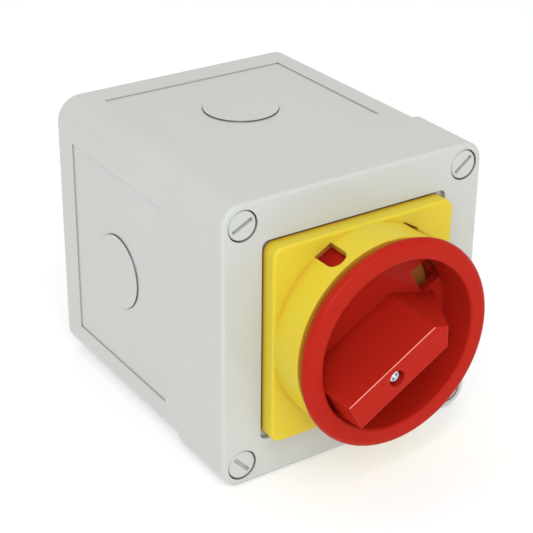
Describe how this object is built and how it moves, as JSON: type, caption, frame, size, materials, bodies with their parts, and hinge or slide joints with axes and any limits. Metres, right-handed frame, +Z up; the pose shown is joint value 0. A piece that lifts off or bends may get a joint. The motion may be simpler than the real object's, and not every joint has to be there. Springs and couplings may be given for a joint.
{
  "type": "rotary isolator switch",
  "caption": "Enclosed rotary isolator switch: grey surface-mount box with a yellow front plate and a red padlockable handle that turns a cam switch inside.",
  "frame": {"origin": "centre of the flat back face of the box, on the wall", "axes": "+Y into the wall, +Z up, +X to the right as seen from the front"},
  "size_m": [0.092, 0.1308, 0.092],
  "materials": {
    "enclosure_grey": "glossy moulded light grey",
    "screw_grey": "glossy moulded light grey",
    "seal_rubber": "soft black rubber",
    "plate_yellow": "glossy moulded yellow",
    "handle_red": "satin moulded red",
    "zinc_steel": "zinc plated",
    "coupler_black": "matte moulded black",
    "switch_grey": "matte moulded dark grey",
    "cam_white": "matte moulded off-white",
    "contact_brass": "plain brass",
    "spring_steel": "bright spring wire"
  },
  "bodies": {
    "base": {"base_box": "enclosure_grey", "mounting_plate": "zinc_steel", "mounting_plate_screws": "zinc_steel", "rear_end_plate": "switch_grey", "stage_housing_1": "switch_grey", "stage_housing_2": "switch_grey", "terminals_1": "contact_brass", "terminals_2": "contact_brass", "terminal_screws_1": "zinc_steel", "terminal_screws_2": "zinc_steel", "detent_housing": "switch_grey", "detent_springs": "spring_steel", "bearing_plate": "switch_grey", "tie_bolts": "zinc_steel", "tie_nuts": "zinc_steel", "earth_terminal": "contact_brass", "earth_terminal_screws": "zinc_steel", "contact_spring_left_1": "spring_steel", "contact_spring_right_1": "spring_steel", "contact_spring_left_2": "spring_steel", "contact_spring_right_2": "spring_steel"},
    "lid": {"lid": "enclosure_grey", "lid_gasket": "seal_rubber", "lid_screws": "screw_grey", "front_plate": "plate_yellow", "front_plate_gasket": "seal_rubber", "front_plate_screws": "zinc_steel"},
    "handle": {"handle": "handle_red", "handle_screw": "zinc_steel", "shaft_seal": "seal_rubber", "drive_coupler": "coupler_black", "coupler_screws": "zinc_steel"},
    "rotor": {"spindle": "zinc_steel", "cam_1": "cam_white", "cam_2": "cam_white", "detent_wheel": "cam_white"},
    "contacts_left_1": {"plunger_left_1": "cam_white", "contact_bridge_left_1": "contact_brass"},
    "contacts_right_1": {"plunger_right_1": "cam_white", "contact_bridge_right_1": "contact_brass"},
    "contacts_left_2": {"plunger_left_2": "cam_white", "contact_bridge_left_2": "contact_brass"},
    "contacts_right_2": {"plunger_right_2": "cam_white", "contact_bridge_right_2": "contact_brass"}
  },
  "joints": [
    {"name": "lid_slide", "type": "slide", "parent": "base", "child": "lid", "axis": [0, -1, 0], "range_m": [0, 0.08]},
    {"name": "handle_turn", "type": "hinge", "parent": "lid", "child": "handle", "pos_m": [0, -0.11, 0], "axis": [0, -1, 0], "range_deg": [0, 90]},
    {"name": "spindle_turn", "type": "hinge", "parent": "base", "child": "rotor", "pos_m": [0, -0.05, 0], "axis": [0, -1, 0], "range_deg": [0, 90], "deforming": ["detent_springs"]},
    {"name": "contact_left_1", "type": "slide", "parent": "base", "child": "contacts_left_1", "axis": [-1, 0, 0], "range_m": [0, 0.0024], "deforming": ["contact_spring_left_1"]},
    {"name": "contact_right_1", "type": "slide", "parent": "base", "child": "contacts_right_1", "axis": [1, 0, 0], "range_m": [0, 0.0024], "deforming": ["contact_spring_right_1"]},
    {"name": "contact_left_2", "type": "slide", "parent": "base", "child": "contacts_left_2", "axis": [-1, 0, 0], "range_m": [0, 0.0024], "deforming": ["contact_spring_left_2"]},
    {"name": "contact_right_2", "type": "slide", "parent": "base", "child": "contacts_right_2", "axis": [1, 0, 0], "range_m": [0, 0.0024], "deforming": ["contact_spring_right_2"]}
  ],
  "couplings": [
    {"joint": "spindle_turn", "follows": "handle_turn", "ratio": 1},
    {"joint": "contact_left_1", "follows": "handle_turn", "m_per_rad": 0.001527},
    {"joint": "contact_right_1", "follows": "handle_turn", "m_per_rad": 0.001527},
    {"joint": "contact_left_2", "follows": "handle_turn", "m_per_rad": 0.001527},
    {"joint": "contact_right_2", "follows": "handle_turn", "m_per_rad": 0.001527}
  ]
}
